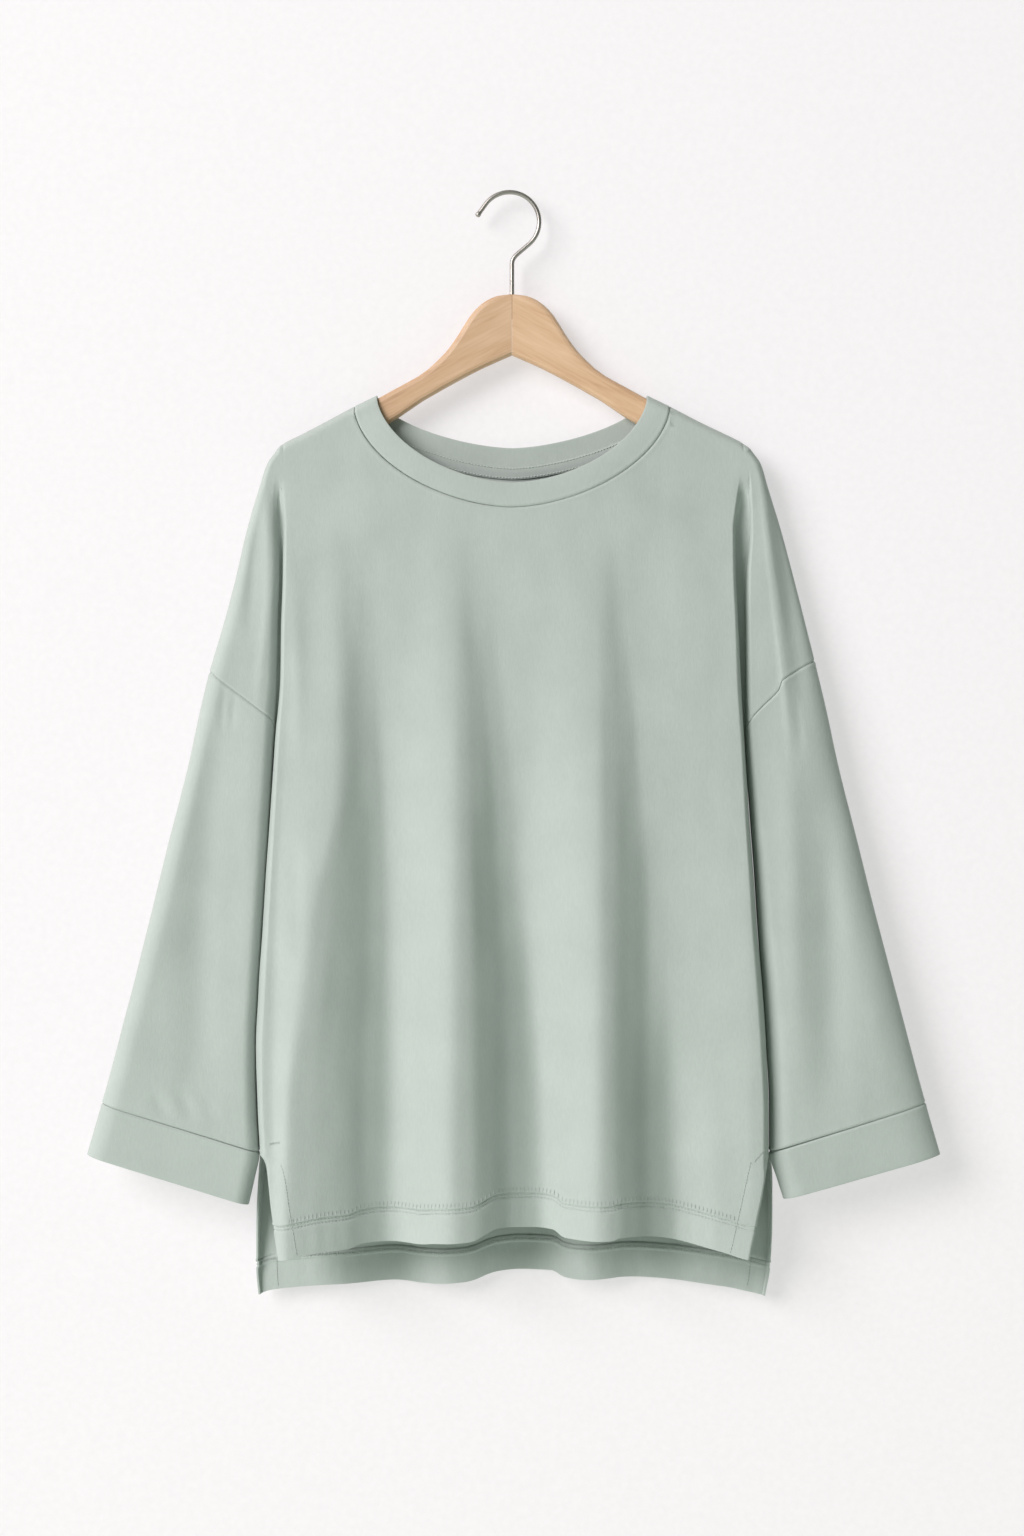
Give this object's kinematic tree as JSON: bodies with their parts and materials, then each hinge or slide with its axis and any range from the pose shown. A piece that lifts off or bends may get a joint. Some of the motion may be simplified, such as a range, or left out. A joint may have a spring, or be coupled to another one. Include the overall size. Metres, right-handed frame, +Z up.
{
  "type": "long-sleeved t-shirt on a wooden hanger",
  "caption": "Drop-shouldered long-sleeved jersey t-shirt with turned cuffs, side slits and a longer back, hung on a pale wooden hanger that hooks over a rail",
  "frame": {"origin": "the inside top of the hook, where a rail or peg holds the hanger", "axes": "+X to the viewer's right as the garment is seen from its front, -Y out of the garment's front, +Z up"},
  "size_m": [0.7678, 0.0785, 1],
  "materials": {
    "jersey": "matte sage-green cotton jersey with a fine knit grain",
    "doubled_jersey": "the same jersey doubled, for cuffs and neck band",
    "neck_tape": "narrow jersey tape with a row of stitches along each edge",
    "beech": "pale beech under a satin clear coat, with fine grain along each arm",
    "steel": "satin nickel-plated steel wire"
  },
  "bodies": {
    "root": {"front_panel": "jersey", "back_panel": "jersey", "sleeve_left": "jersey", "sleeve_right": "jersey", "cuff_left": "doubled_jersey", "cuff_right": "doubled_jersey", "neck_band": "doubled_jersey", "neck_tape": "neck_tape", "hanger_arm_left": "beech", "hanger_arm_right": "beech", "hanger_hook": "steel"}
  },
  "joints": []
}
